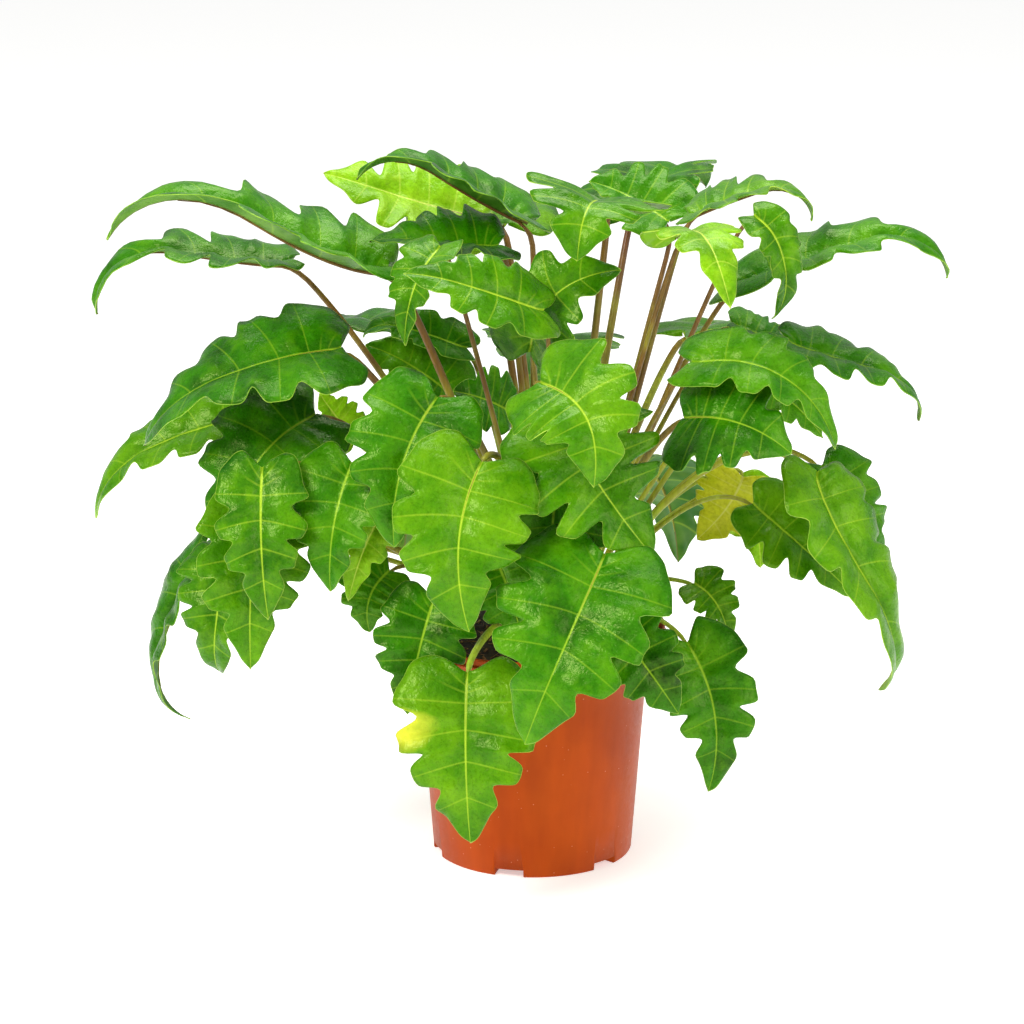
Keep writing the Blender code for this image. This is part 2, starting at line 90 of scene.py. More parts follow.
# the deep tint is the leaf green made darker: painted shade for the leaves that lie in shade
leafLook = {
    "deep": {"dark": "#0C3A02", "mid": "#2A7000", "pale": "#569408", "vein": "#96BE2A", "under": "#6A9A34"},
    "fresh": {"dark": "#185602", "mid": "#3C7A00", "pale": "#689E0A", "vein": "#AECE34", "under": "#86B03C"},
    "lime": {"dark": "#568E08", "mid": "#80B80C", "pale": "#A6CE2A", "vein": "#CCDE58", "under": "#9CC23C"},
    "yellow": {"dark": "#8CA010", "mid": "#BCC01C", "pale": "#D6D03C", "vein": "#E4DE74", "under": "#C0C038"},
}
leafMarks = {
    "marginColour": "#A8C850",
    "marginMm": 0.32,
    "ribMm": 1.0,         # half the pale band along the rib at its neck
    "ribEndMm": 0.2,
    "veinMm": 0.24,       # half a side vein near the rib
    "veinShade": 0.32,
    "patchColour": "#D8D83A",
    "waxColour": "#D2E68C",
}


def leafUpper(name, look):
    # living leaf with a waxy cuticle: saturated green, clouded lighter between sunken yellow-green veins,
    # with a soft broken gloss
    made, tree, shader = newMaterial("leafUpper_" + name)
    place = addNode(tree, "TexCoord").outputs["Object"]
    rib, vein, edge, along, patch, bright = (
        addNode(tree, "Attribute", {"attribute_name": key}).outputs["Fac"]
        for key in ("ribMm", "veinMm", "edgeMm", "along", "patch", "bright"))
    cloud = addNode(tree, "TexNoise", None, Vector=place, Scale=perMetre(30), Detail=3.0, Roughness=0.55)
    fine = addNode(tree, "TexNoise", None, Vector=place, Scale=perMetre(2.4), Detail=4.0, Roughness=0.62)
    shade = addNode(tree, "Math", {"operation": "ADD"}, i0=cloud.outputs["Fac"], i1=bright)
    body = addNode(tree, "ValToRGB", {
        "stops": ((0.2, look["dark"]), (0.5, look["mid"]), (0.84, look["pale"]))}, Fac=shade.outputs[0])
    speckle = addNode(tree, "MapRange", None, Value=fine.outputs["Fac"], From_Min=0.3, From_Max=0.7,
                      To_Min=0.84, To_Max=1.14)
    body = addNode(tree, "Mix", multiply, i0=1.0, i6=body.outputs["Color"], i7=speckle.outputs[0])
    # paler blotches, a centimetre or two across
    blotch = addNode(tree, "TexNoise", None, Vector=place, Scale=perMetre(14), Detail=4.0, Roughness=0.6)
    thin = addNode(tree, "MapRange", None, Value=blotch.outputs["Fac"], From_Min=0.5, From_Max=0.72,
                   To_Min=0.0, To_Max=0.5)
    body = addNode(tree, "Mix", mixColour, i0=thin.outputs[0], i6=body.outputs[2], i7=linear(look["pale"]))
    # a side vein narrows towards the margin and fades out before it
    veinWidth = addNode(tree, "MapRange", None, Value=edge, From_Min=0.0, From_Max=20.0, To_Min=0.0,
                        To_Max=leafMarks["veinMm"])
    veinOff = addNode(tree, "Math", {"operation": "SUBTRACT"}, i0=vein, i1=veinWidth.outputs[0])
    veinLine = addNode(tree, "MapRange", None, Value=veinOff.outputs[0], From_Min=-0.15, From_Max=0.5,
                       To_Min=leafMarks["veinShade"], To_Max=0.0)
    body = addNode(tree, "Mix", mixColour, i0=veinLine.outputs[0], i6=body.outputs[2],
                   i7=linear(look["vein"]))
    ribWidth = addNode(tree, "MapRange", None, Value=along, From_Min=0.0, From_Max=0.95,
                       To_Min=leafMarks["ribMm"], To_Max=leafMarks["ribEndMm"])
    ribOff = addNode(tree, "Math", {"operation": "SUBTRACT"}, i0=rib, i1=ribWidth.outputs[0])
    ribLine = addNode(tree, "MapRange", None, Value=ribOff.outputs[0], From_Min=-0.5, From_Max=0.4,
                      To_Min=0.9, To_Max=0.0)
    body = addNode(tree, "Mix", mixColour, i0=ribLine.outputs[0], i6=body.outputs[2], i7=linear(look["vein"]))
    margin = addNode(tree, "MapRange", None, Value=edge, From_Min=leafMarks["marginMm"] * 0.5,
                     From_Max=leafMarks["marginMm"], To_Min=0.65, To_Max=0.0)
    body = addNode(tree, "Mix", mixColour, i0=margin.outputs[0], i6=body.outputs[2],
                   i7=linear(leafMarks["marginColour"]))
    ageing = addNode(tree, "Math", {"operation": "MULTIPLY"}, i0=patch, i1=cloud.outputs["Fac"])
    aged = addNode(tree, "MapRange", None, Value=ageing.outputs[0], From_Min=0.2, From_Max=0.45, To_Min=0.0,
                   To_Max=0.9)
    body = addNode(tree, "Mix", mixColour, i0=aged.outputs[0], i6=body.outputs[2],
                   i7=linear(leafMarks["patchColour"]))
    tree.links.new(body.outputs[2], shader.inputs["Base Color"])
    gloss = addNode(tree, "MapRange", None, Value=fine.outputs["Fac"], From_Min=0.3, From_Max=0.7,
                    To_Min=0.23, To_Max=0.38)
    tree.links.new(gloss.outputs[0], shader.inputs["Roughness"])
    shader.inputs["Specular IOR Level"].default_value = 0.42
    shader.inputs["Specular Tint"].default_value = linear(leafMarks["waxColour"])
    # the net of small veins between the side veins, about 4 mm a mesh, and a finer skin
    net = addNode(tree, "TexVoronoi", {"feature": "DISTANCE_TO_EDGE"}, Vector=place, Scale=perMetre(4.5))
    sunk = addNode(tree, "MapRange", None, Value=net.outputs["Distance"], From_Min=0.0, From_Max=0.14)
    skin = addNode(tree, "Math", {"operation": "MULTIPLY_ADD"}, i0=sunk.outputs[0], i1=0.4,
                   i2=fine.outputs["Fac"])
    bump = addNode(tree, "Bump", None, Strength=0.25, Distance=0.0005, Height=skin.outputs[0])
    # the swell of the blade between its veins, which breaks the gloss up
    swell = addNode(tree, "Bump", None, Strength=0.5, Distance=0.004, Height=blotch.outputs["Fac"],
                    Normal=bump.outputs["Normal"])
    tree.links.new(swell.outputs["Normal"], shader.inputs["Normal"])
    return made


def leafUnder(name, look):
    # the same leaf's underside: matt and paler, with its veins standing out
    made, tree, shader = newMaterial("leafUnder_" + name)
    place = addNode(tree, "TexCoord").outputs["Object"]
    rib, vein, along, bright = (
        addNode(tree, "Attribute", {"attribute_name": key}).outputs["Fac"]
        for key in ("ribMm", "veinMm", "along", "bright"))
    cloud = addNode(tree, "TexNoise", None, Vector=place, Scale=perMetre(24), Detail=3.0)
    shade = addNode(tree, "Math", {"operation": "ADD"}, i0=cloud.outputs["Fac"], i1=bright)
    body = addNode(tree, "ValToRGB", {"stops": ((0.32, look["mid"]), (0.7, look["under"]))},
                   Fac=shade.outputs[0])
    veinLine = addNode(tree, "MapRange", None, Value=vein, From_Min=0.25, From_Max=0.9, To_Min=0.5,
                       To_Max=0.0)
    body = addNode(tree, "Mix", mixColour, i0=veinLine.outputs[0], i6=body.outputs["Color"],
                   i7=linear(look["vein"]))
    ribWidth = addNode(tree, "MapRange", None, Value=along, From_Min=0.0, From_Max=0.95, To_Min=1.8,
                        To_Max=0.3)
    ribOff = addNode(tree, "Math", {"operation": "SUBTRACT"}, i0=rib, i1=ribWidth.outputs[0])
    ribLine = addNode(tree, "MapRange", None, Value=ribOff.outputs[0], From_Min=-0.4, From_Max=0.4,
                      To_Min=0.85, To_Max=0.0)
    body = addNode(tree, "Mix", mixColour, i0=ribLine.outputs[0], i6=body.outputs[2], i7=linear("#7C7038"))
    tree.links.new(body.outputs[2], shader.inputs["Base Color"])
    shader.inputs["Roughness"].default_value = 0.52
    shader.inputs["Specular IOR Level"].default_value = 0.35
    bump = addNode(tree, "Bump", None, Strength=0.2, Distance=0.0004, Height=cloud.outputs["Fac"])
    tree.links.new(bump.outputs["Normal"], shader.inputs["Normal"])
    return made


def leafEdge(name, look):
    # the rim of the blade's thickness, a little paler than its face
    made, tree, shader = newMaterial("leafEdge_" + name)
    place = addNode(tree, "TexCoord").outputs["Object"]
    cloud = addNode(tree, "TexNoise", None, Vector=place, Scale=perMetre(12), Detail=2.0)
    body = addNode(tree, "ValToRGB", {"stops": ((0.35, look["pale"]), (0.7, look["vein"]))},
                   Fac=cloud.outputs["Fac"])
    tree.links.new(body.outputs["Color"], shader.inputs["Base Color"])
    shader.inputs["Roughness"].default_value = 0.45
    return made


leafPaints = {
    tint: [make(tint, look) for make in (leafUpper, leafUnder, leafEdge)]
    for tint, look in leafLook.items()
}

# half outline from the notch to the tip: along the rib, share of the half width, root on the rib, sinus
halfOutline = (
    (0.0, 0.0, 0.0, 0),
    (-0.06, 0.24, 0.05, 0),
    (-0.10, 0.48, 0.08, 0),
    (-0.05, 0.73, 0.11, 0),
    (0.06, 0.92, 0.14, 0),
    (0.19, 1.00, 0.19, 0),
    (0.27, 0.84, 0.25, 1),
    (0.36, 0.97, 0.31, 0),
    (0.45, 0.91, 0.37, 0),
    (0.48, 0.72, 0.43, 1),
    (0.56, 0.80, 0.49, 0),
    (0.64, 0.69, 0.56, 0),
    (0.67, 0.47, 0.63, 1),
    (0.77, 0.43, 0.71, 0),
    (0.86, 0.29, 0.81, 0),
    (0.95, 0.14, 0.91, 0),
    (1.0, 0.0, 1.0, 0),
)
leafForm = {
    "ribSteps": 24,
    "neckShare": 0.024,    # of the width, half the neck
    "thickness": 0.6,      # mm
    "lobeDrop": 0.018,     # of the leaf's length
    "sinusLift": 0.014,
    "ragged": 0.05,
    "rowsPerPoint": 5,
    "columns": 18,
    "veinRows": (1.9, 3.3, 4.8, 7.4, 10.4, 13.2),
    "quilt": 0.7,          # mm that the blade stands up between its veins
    "camber": 0.020,       # of the length, how far each half arches
    "sinusRows": (6.0, 9.0, 12.0),
    "notch": 0.10,         # share of the width that a narrow sinus cuts deeper
    "lobeSwell": 0.035,    # and that the lobes beside it are rounder
    "notchHalf": 0.4,      # in outline points, as the next one is
    "lobeAt": 0.9,
    "lobeHalf": 0.35,
    "shake": 0.012,        # share of the width, a small unevenness
    "shakeRate": 5.1,
    "sweep": 1.25,         # how the side veins bow towards the tip
    "veinDip": 3.5,        # mm, half the dip along a side vein
    "grooveDepth": 0.8,    # mm, along the rib
    "grooveHalf": 2.2,
    "ruffle": 1.1,         # mm that the margin waves
    "ruffleRate": 2.7,
    "swell": 1.2,          # mm that the blade rises and falls
    "swellSize": 24,       # mm
    "patches": {"pot_left_front": 1.0},   # blades with a yellowed lobe
}
# neck, middle and tip of the rib in mm, width in mm, where the upper face looks (bearing and height in
# degrees, -90 is the viewer), fold and hook in degrees, how deep the sinuses are cut, arch and bow of the
# stalk in mm, tint
leafRows = (
    ("upper_left_long", (-100, -20, 424), (-175, -34, 452), (-282, -42, 531), 108, (-90, 76),
     24, 110, 1.6, 20, (0, 0), "deep"),
    ("left_high", (-170, 20, 421), (-232, 14, 428), (-329, 8, 448), 80, (-90, 88),
     15, 120, 1.6, 24, (0, 0), "deep"),
    ("left_broad", (-131, -60, 379), (-197, -76, 369), (-282, -82, 331), 102, (-82, 64),
     6, 50, 1.0, 20, (0, 0), "deep"),
    ("left_low", (-197, 0, 314), (-255, 0, 300), (-331, 0, 257), 58, (-95, 64),
     14, 60, 1.0, 20, (0, 0), "fresh"),
    ("left_shade", (-150, -40, 328), (-190, -66, 300), (-216, -76, 240), 95, (-110, 40),
     8, 20, 1.0, 30, (0, 0), "deep"),
    ("left_front", (-182, -125, 313), (-182, -148, 265), (-178, -150, 214), 62, (-90, 15),
     8, 5, 1.2, 40, (0, 0), "fresh"),
    ("left_inner", (-122, -112, 313), (-134, -134, 276), (-137, -138, 230), 68, (-105, 20),
     10, 5, 1.0, 40, (0, 0), "deep"),
    ("left_hang_light", (-187, -101, 280), (-191, -126, 231), (-192, -130, 173), 78, (-80, 12),
     5, 0, 1.1, 40, (-28, -28), "fresh"),
    ("left_hang_curl", (-216, -40, 231), (-219, -60, 192), (-227, -60, 137), 62, (-110, 15),
     6, 60, 1.2, 40, (0, 0), "fresh"),
    ("left_hang_edge", (-232, 10, 218), (-259, 4, 163), (-282, 4, 82), 50, (200, 22),
     18, 80, 1.0, 30, (0, 0), "deep"),
    ("lime_ribbon", (-92, -74, 284), (-113, -96, 254), (-126, -102, 212), 42, (-70, 20),
     10, 10, 1.2, 30, (0, 0), "lime"),
    ("centre_left", (-65, -112, 358), (-88, -142, 318), (-94, -148, 263), 86, (-100, 25),
     8, 10, 1.2, 40, (0, 0), "deep"),
    ("centre_big", (-35, -152, 324), (-50, -180, 275), (-43, -182, 215), 96, (-88, 20),
     6, 5, 1.1, 50, (0, 0), "fresh"),
    ("centre_curl", (4, -152, 378), (34, -186, 362), (38, -198, 318), 84, (-100, 40),
     8, 20, 1.1, 60, (0, 0), "fresh"),
    ("centre_right", (20, -112, 341), (45, -138, 302), (80, -142, 255), 108, (-80, 30),
     6, 0, 1.5, 50, (0, 0), "fresh"),
    ("centre_dark", (18, -113, 306), (12, -133, 255), (20, -135, 198), 88, (-92, 15),
     8, 0, 1.1, 50, (0, 0), "deep"),
    ("pot_front", (47, -155, 261), (20, -193, 209), (-9, -205, 143), 112, (-100, 25),
     8, 20, 1.2, 50, (44, -14), "deep"),
    ("pot_left_front", (-45, -140, 174), (-46, -162, 120), (-43, -162, 60), 96, (-92, 18),
     5, 0, 1.2, 30, (0, 0), "fresh"),
    ("pot_left_back", (-68, -110, 216), (-79, -124, 179), (-86, -124, 139), 66, (-95, 15),
     5, 0, 1.0, 16, (0, 0), "deep"),
    ("pot_right_front", (54, -100, 196), (78, -116, 168), (99, -114, 136), 62, (-85, 20),
     8, 0, 1.0, 16, (0, 0), "deep"),
    ("right_low", (106, -75, 175), (125, -92, 128), (122, -94, 71), 66, (-75, 15),
     10, 10, 1.3, 24, (0, 0), "deep"),
    ("right_low_small", (112, -40, 207), (128, -50, 194), (137, -50, 166), 40, (-60, 25),
     14, 0, 1.2, 20, (0, 0), "fresh"),
    ("left_low_dark", (-99, -62, 223), (-113, -72, 206), (-113, -74, 182), 50, (-100, 20),
     5, 0, 1.0, 20, (0, 0), "deep"),
    ("centre_under", (-26, -85, 238), (-14, -94, 208), (-7, -94, 175), 55, (-90, 15),
     6, 0, 1.0, 16, (0, 0), "deep"),
    ("top_arch", (-4, 10, 452), (-57, 0, 482), (-116, -5, 524), 82, (-90, 80),
     20, 100, 1.2, 16, (0, 0), "deep"),
    ("top_lime", (-36, 60, 446), (-92, 55, 462), (-146, 50, 482), 92, (-92, 58),
     8, 10, 1.6, 16, (0, 0), "lime"),
    ("top_belly", (-24, -10, 440), (-66, -22, 446), (-112, -28, 452), 78, (-90, 70),
     16, 20, 1.1, 16, (0, 0), "deep"),
    ("top_left_drop", (-63, -60, 450), (-80, -86, 428), (-88, -90, 388), 44, (-120, 20),
     18, 10, 1.0, 10, (0, 0), "fresh"),
    ("mid_left_point", (6, -98, 414), (-40, -116, 434), (-86, -120, 448), 60, (-80, 50),
     8, 20, 1.0, 20, (0, 0), "fresh"),
    ("small_curl", (-47, 40, 356), (-86, 40, 370), (-126, 40, 378), 40, (-90, 60),
     16, 90, 1.0, 16, (0, 0), "deep"),
    ("mid_left_back", (-56, 37, 322), (-87, 42, 344), (-118, 42, 359), 64, (-90, 50),
     6, 10, 1.0, 16, (0, 0), "deep"),
    ("centre_arch", (-2, -54, 376), (14, -68, 418), (60, -68, 438), 74, (-110, 46),
     14, 30, 1.1, 24, (0, 0), "fresh"),
    ("top_mid", (50, -50, 476), (36, -94, 484), (28, -114, 452), 94, (-95, 66),
     10, 10, 1.4, 10, (0, 0), "fresh"),
    ("top_mid_back", (96, 66, 442), (68, 84, 457), (40, 92, 466), 72, (-90, 60),
     16, 0, 1.3, 10, (0, 0), "deep"),
    ("top_right_fan", (108, -10, 461), (145, -15, 476), (201, -15, 493), 80, (-85, 84),
     12, 110, 1.3, 10, (0, 0), "fresh"),
    ("right_fold", (97, -76, 458), (113, -120, 468), (128, -156, 429), 62, (-70, 60),
     5, 0, 1.2, 16, (0, 0), "lime"),
    ("right_ribbon", (148, -64, 472), (167, -74, 447), (170, -74, 396), 36, (-60, 35),
     14, 50, 1.0, 10, (0, 0), "fresh"),
    ("right_long", (139, 10, 407), (215, 0, 438), (300, -5, 459), 74, (-90, 80),
     14, 100, 1.3, 24, (0, 0), "deep"),
    ("right_back_short", (140, 24, 378), (164, 24, 368), (189, 24, 356), 50, (-90, 78),
     10, 0, 1.0, 20, (0, 0), "deep"),
    ("right_mid_out", (175, -15, 374), (225, -20, 359), (291, -20, 341), 66, (-90, 76),
     6, 90, 1.0, 24, (0, 0), "deep"),
    ("right_mid_arch", (107, -81, 374), (164, -99, 371), (209, -105, 322), 62, (-85, 60),
     10, 20, 1.1, 24, (0, 0), "deep"),
    ("right_shade", (101, -101, 341), (136, -121, 343), (173, -125, 323), 92, (-80, 42),
     4, 10, 1.1, 30, (0, 0), "deep"),
    ("right_inner", (145, -45, 358), (175, -50, 341), (199, -50, 314), 46, (-85, 56),
     10, 0, 1.0, 20, (0, 0), "deep"),
    ("right_fall_big", (192, -75, 296), (219, -98, 239), (285, -100, 139), 76, (-55, 24),
     10, 80, 1.0, 70, (0, 0), "fresh"),
    ("right_fall_back", (199, -34, 290), (222, -46, 255), (245, -48, 205), 72, (-50, 28),
     10, 10, 1.1, 70, (0, 0), "deep"),
    ("right_pale", (154, -5, 255), (188, -10, 226), (229, -10, 188), 60, (-90, 45),
     8, 10, 1.3, 40, (0, 0), "fresh"),
    ("right_yellow", (150, 42, 262), (138, 36, 240), (117, 30, 219), 62, (-90, 40),
     6, 10, 1.0, 30, (0, 28), "yellow"),
    ("right_yellow_hang", (145, 58, 246), (159, 53, 227), (164, 50, 192), 48, (-90, 20),
     6, 0, 1.0, 24, (0, 0), "lime"),
    ("left_lime_back", (-128, 58, 286), (-142, 56, 305), (-152, 54, 320), 36, (-90, 40),
     6, 0, 1.0, 16, (0, 0), "lime"),
    ("stem_shade", (-18, 14, 318), (-36, 8, 328), (-56, 4, 334), 54, (-90, 50),
     10, 0, 1.0, 16, (0, 0), "deep"),
    ("back_top_right", (70, 100, 440), (96, 150, 462), (130, 196, 452), 100, (80, 66),
     10, 30, 1.3, 10, (0, 0), "deep"),
    ("back_top_left", (-20, 100, 432), (-54, 156, 440), (-92, 200, 410), 104, (100, 60),
     10, 40, 1.3, 16, (0, 0), "fresh"),
    ("back_left", (-100, 90, 360), (-154, 128, 352), (-204, 160, 310), 98, (140, 50),
     8, 40, 1.1, 20, (0, 0), "deep"),
    ("back_right", (110, 110, 350), (160, 150, 342), (206, 184, 296), 96, (50, 48),
     8, 30, 1.1, 24, (0, 0), "fresh"),
    ("back_middle", (16, 140, 338), (14, 190, 318), (10, 226, 262), 104, (90, 42),
     8, 20, 1.2, 30, (0, 0), "deep"),
    ("back_low_left", (-66, 130, 246), (-86, 166, 216), (-98, 188, 160), 88, (118, 30),
     8, 10, 1.1, 36, (0, 0), "fresh"),
    ("back_low_right", (80, 136, 250), (100, 168, 214), (112, 186, 158), 90, (62, 30),
     8, 10, 1.1, 36, (0, 0), "deep"),
)
leafKeys = ("name", "neck", "middle", "tip", "width", "face", "fold", "hook", "cut", "arch", "bow", "tint")
leaves = [dict(zip(leafKeys, row)) for row in leafRows]


def ribFrames(neck, middle, tip, facing, hook, twist):
    # places along the rib with the side and the upper normal there
    neck, middle, tip = Vector(neck), Vector(middle), Vector(tip)
    steps = leafForm["ribSteps"]
    bend = middle * 2 - (neck + tip) / 2
    line = []
    for i in range(steps + 1):
        t = i / steps
        line.append(neck * (1 - t) ** 2 + bend * (2 * t * (1 - t)) + tip * t**2)
    before = (line[1] - line[0]).normalized()
    normal = (facing - before * facing.dot(before)).normalized()
    place = neck.copy()
    frames = []
    for i in range(steps):
        step = line[i + 1] - line[i]
        normal = before.rotation_difference(step) @ normal
        before = step.normalized()
        share = max(0.0, (i / steps - 0.55) / 0.45)
        curl = Quaternion(normal.cross(before), math.radians(hook) * share**1.5)
        along = curl @ step
        up = Quaternion(along, math.radians(twist) * i / steps) @ (curl @ normal)
        frames.append((place.copy(), along, along.cross(up).normalized(), up.normalized()))
        place = place + along
    frames.append((place, frames[-1][1], frames[-1][2], frames[-1][3]))
    return frames


def onBlade(frames, along, out, fold, lift):
    # the place on the blade at a share of its length, out mm to one side and lift mm up
    steps = leafForm["ribSteps"]
    spot = min(max(along, 0.0), 0.9999) * steps
    index = int(spot)
    place, step, side, up = frames[index]
    after = frames[index + 1]
    part = spot - index if along >= 0 else along * steps
    blend = min(max(part, 0.0), 1.0)
    side = side.lerp(after[2], blend)
    up = up.lerp(after[3], blend)
    raised = math.radians(fold)
    reach = side * (out * math.cos(raised)) + up * (abs(out) * math.sin(raised))
    return place + step * part + reach + up * lift


def through(values, spot):
    # a smooth curve through a row of values
    i = min(int(spot), len(values) - 2)
    t = spot - i
    a, b, c, d = values[max(i - 1, 0)], values[i], values[i + 1], values[min(i + 2, len(values) - 1)]
    return 0.5 * (2 * b + (c - a) * t + (2 * a - 5 * b + 4 * c - d) * t**2 + (3 * b - a - 3 * c + d) * t**3)


def facingOf(leaf):
    bearing, height = math.radians(leaf["face"][0]), math.radians(leaf["face"][1])
    return Vector((
        math.cos(bearing) * math.cos(height), math.sin(bearing) * math.cos(height), math.sin(height)))


def leafEdges(number, leaf, length):
    # the two outlines with their own small irregularities, drawn as the solid's are
    draw = random.Random(number)
    twist = draw.uniform(-14, 14)
    ragged, cut = leafForm["ragged"], leaf["cut"]
    hands = {}
    for hand in (-1, 1):
        alongs, outs, lifts = [0.0], [leafForm["neckShare"] * leaf["width"]], [0.0]
        for along, out, _, sinus in halfOutline[1:-1]:
            along += draw.uniform(-0.2, 0.2) * ragged
            out *= 1 + draw.uniform(-1, 1) * ragged
            if sinus:
                out -= 0.3 * (cut - 1)
                along -= 0.03 * (cut - 1)
            lift = length * (leafForm["sinusLift"] if sinus else -leafForm["lobeDrop"] * out)
            lift += length * draw.uniform(-0.01, 0.01)
            alongs.append(along)
            outs.append(out * leaf["width"] / 2)
            lifts.append(lift)
        hands[hand] = (alongs + [1.0], outs + [0.0], lifts + [0.0])
    return twist, hands


def makeBlade(number, leaf):
    rib = [Vector(leaf[key]) for key in ("neck", "middle", "tip")]
    length = (rib[2] - rib[1]).length + (rib[1] - rib[0]).length
    twist, hands = leafEdges(number, leaf, length)
    frames = ribFrames(*rib, facingOf(leaf), leaf["hook"], twist)
    roots = [row[2] for row in halfOutline]
    rows = (len(halfOutline) - 1) * leafForm["rowsPerPoint"]
    columns = leafForm["columns"]
    name = "blade_" + leaf["name"]
    mesh = bpy.data.meshes.new(name)
    grid = bmesh.new()
    bmesh.ops.create_grid(grid, x_segments=columns, y_segments=rows, size=1.0)
    layers = {
        key: grid.verts.layers.float.new(key)
        for key in ("ribMm", "veinMm", "edgeMm", "along", "patch", "bright")}
    ripple = random.Random(5000 + number)
    phase = ripple.uniform(0, math.tau)
    bright = ripple.uniform(-0.13, 0.12)

    def flat(spot, across, hand):
        alongs, outs, _ = hands[hand]
        root, edge = through(roots, spot), through(alongs, spot)
        out = through(outs, spot)
        out *= 1 + leafForm["shake"] * math.sin(spot * leafForm["shakeRate"] + phase)
        for sinus in leafForm["sinusRows"]:
            out *= 1 - leafForm["notch"] * math.exp(-(((spot - sinus) / leafForm["notchHalf"]) ** 2))
            beside = (abs(spot - sinus) - leafForm["lobeAt"]) / leafForm["lobeHalf"]
            out *= 1 + leafForm["lobeSwell"] * math.exp(-(beside**2))
        return root + (edge - root) * abs(across) ** leafForm["sweep"], max(out, 0.0) * abs(across)

    for vert in grid.verts:
        across = vert.co.x
        spot = (vert.co.y + 1) / 2 * (len(halfOutline) - 1)
        hand = 1 if across > 0 else -1
        far = abs(across)
        along, out = flat(spot, across, hand)
        nearest = 99.0
        for veinRow in leafForm["veinRows"]:
            a, b = flat(veinRow, across, hand)
            nearest = min(nearest, math.hypot((a - along) * length, b - out) * 0.8)
        lift = through(hands[hand][2], spot) * far**1.4
        lift += length * leafForm["camber"] * math.sin(math.pi * far) * min(1.0, (1 - along) * 2)
        quilt = leafForm["quilt"] * min(1.0, leaf["width"] / 80)
        puff = 1 - math.exp(-((nearest / leafForm["veinDip"]) ** 2))
        lift += quilt * puff * min(1.0, 4 * (1 - far)) * min(1.0, out / 5)
        lift -= leafForm["grooveDepth"] * math.exp(-((out / leafForm["grooveHalf"]) ** 2)) * (1 - along)
        small = min(1.0, leaf["width"] / 80)
        lift += leafForm["ruffle"] * small * math.sin(
            spot * leafForm["ruffleRate"] + phase + hand) * far**3
        spotAt = Vector((along * length, hand * out, number * 40.0)) / leafForm["swellSize"]
        lift += leafForm["swell"] * small * noise.noise(spotAt) * min(1.0, out / 8)
        place = onBlade(frames, along, hand * out, leaf["fold"], lift)
        vert[layers["ribMm"]] = out
        vert[layers["veinMm"]] = nearest
        vert[layers["edgeMm"]] = through(hands[hand][1], spot) * (1 - far)
        vert[layers["along"]] = along
        vert[layers["bright"]] = bright
        yellowed = leafForm["patches"].get(leaf["name"], 0.0) * max(0.0, 1 - abs(spot - 7) / 2.6)
        vert[layers["patch"]] = yellowed * far if hand > 0 else 0.0
        vert.co = place * mm
    bmesh.ops.remove_doubles(grid, verts=grid.verts, dist=0.00002)
    bmesh.ops.dissolve_degenerate(grid, edges=grid.edges, dist=0.00001)
    grid.normal_update()
    middleFace = min(grid.faces, key=lambda f: (f.calc_center_median() - rib[1] * mm).length)
    if middleFace.normal.dot(facingOf(leaf)) < 0:
        bmesh.ops.reverse_faces(grid, faces=grid.faces)
    for face in grid.faces:
        face.smooth = True
    grid.to_mesh(mesh)
    grid.free()
    blade = bpy.data.objects.new(name, mesh)
    bpy.context.scene.collection.objects.link(blade)
    for paint in leafPaints[leaf["tint"]]:
        mesh.materials.append(paint)
    thick = blade.modifiers.new("thickness", "SOLIDIFY")
    thick.thickness = leafForm["thickness"] * mm
    thick.offset = 0.0
    thick.material_offset = 1
    thick.material_offset_rim = 2
    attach(blade, "root")
    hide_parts("leaf_" + leaf["name"])
    return frames


bladeFrames = [makeBlade(number, leaf) for number, leaf in enumerate(leaves)]
print("blades", len(leaves))


stalkForm = {
    "crownAt": (16.0, 6.0, 158.0),   # mm
    "baseRadius": 3.3,
    "topRadius": 2.1,
    "neckRadius": 1.35,
    "ribEnd": 0.8,                   # how far along the blade the rib stands out below
    "samples": 22,
}


def stalkPath(number, leaf, frames):
    # from the crown to the neck, then on under the blade as its rib: (place, radius)
    draw = random.Random(1000 + number)
    neck, step, _, up = frames[0]
    along = step.normalized()
    crown = Vector(stalkForm["crownAt"])
    away = Vector((neck.x - crown.x, neck.y - crown.y, 0)).normalized()
    start = crown + away * draw.uniform(7, 17)
    end = neck - along * 6 - up * 3
    raised = Vector((leaf["bow"][0], leaf["bow"][1], leaf["arch"]))
    first, second = start.lerp(end, 0.30) + raised, start.lerp(end, 0.72) + raised
    girth = min(max(leaf["width"] / 90, 0.7), 1.1)
    path = []
    for i in range(stalkForm["samples"] + 1):
        t = i / stalkForm["samples"]
        place = (start * (1 - t) ** 3 + first * (3 * t * (1 - t) ** 2)
                 + second * (3 * t**2 * (1 - t)) + end * t**3)
        radius = stalkForm["baseRadius"] + (stalkForm["topRadius"] - stalkForm["baseRadius"]) * t
        path.append([place, radius * girth])
    path.append([neck - along * 1.5 - up * 0.9, stalkForm["neckRadius"] * girth])
    for i in range(1, 15):
        t = i / 14 * stalkForm["ribEnd"]
        radius = (1.25 * (1 - t) ** 1.2 + 0.15) * girth
        path.append([onBlade(frames, t, 0.0, 0, -0.8 * (1 - t) - 0.25 - radius * 0.35), radius])
    joint = stalkForm["samples"]
    for _ in range(3):   # eases the turn at the neck
        for i in range(joint - 3, joint + 2):
            path[i][0] = (path[i - 1][0] + path[i][0] * 2 + path[i + 1][0]) / 4
    return path


